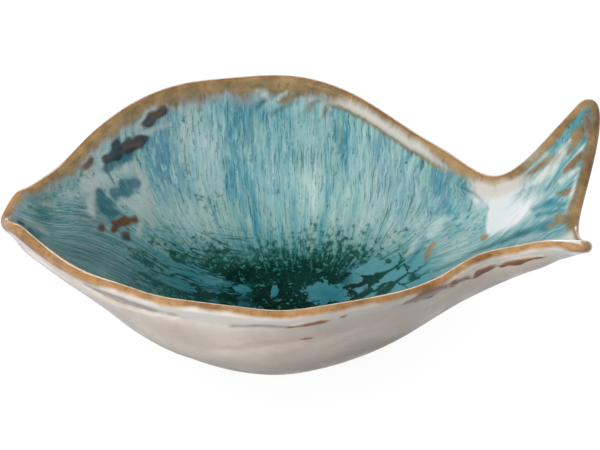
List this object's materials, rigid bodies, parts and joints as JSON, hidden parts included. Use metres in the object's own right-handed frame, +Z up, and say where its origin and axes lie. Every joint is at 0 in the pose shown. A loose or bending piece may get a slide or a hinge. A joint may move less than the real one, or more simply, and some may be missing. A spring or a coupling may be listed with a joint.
{
  "type": "fish-shaped bowl",
  "caption": "Open serving bowl in the plan of a fish: pinched stoneware shell with a raised forked tail, glazed inside and out, with an iron-brown rim and a bare oval foot.",
  "frame": {"origin": "under the middle of the bowl's length and width, on the plane of the foot", "axes": "+X from the snout to the tail, +Y to the fish's back, +Z up out of the bowl"},
  "size_m": [0.2421, 0.153, 0.0832],
  "materials": {
    "bare_clay": "matte unglazed stoneware",
    "celadon_glaze": "glossy streaked reactive glaze",
    "iron_brown_glaze": "glossy iron glaze",
    "cream_glaze": "semi-gloss",
    "emerald_glaze": "glassy pooled glaze"
  },
  "bodies": {
    "root": {"clay_body": "bare_clay", "inner_glaze": "celadon_glaze", "rim_glaze": "iron_brown_glaze", "outer_glaze": "cream_glaze", "glaze_pool": "emerald_glaze"}
  },
  "joints": []
}
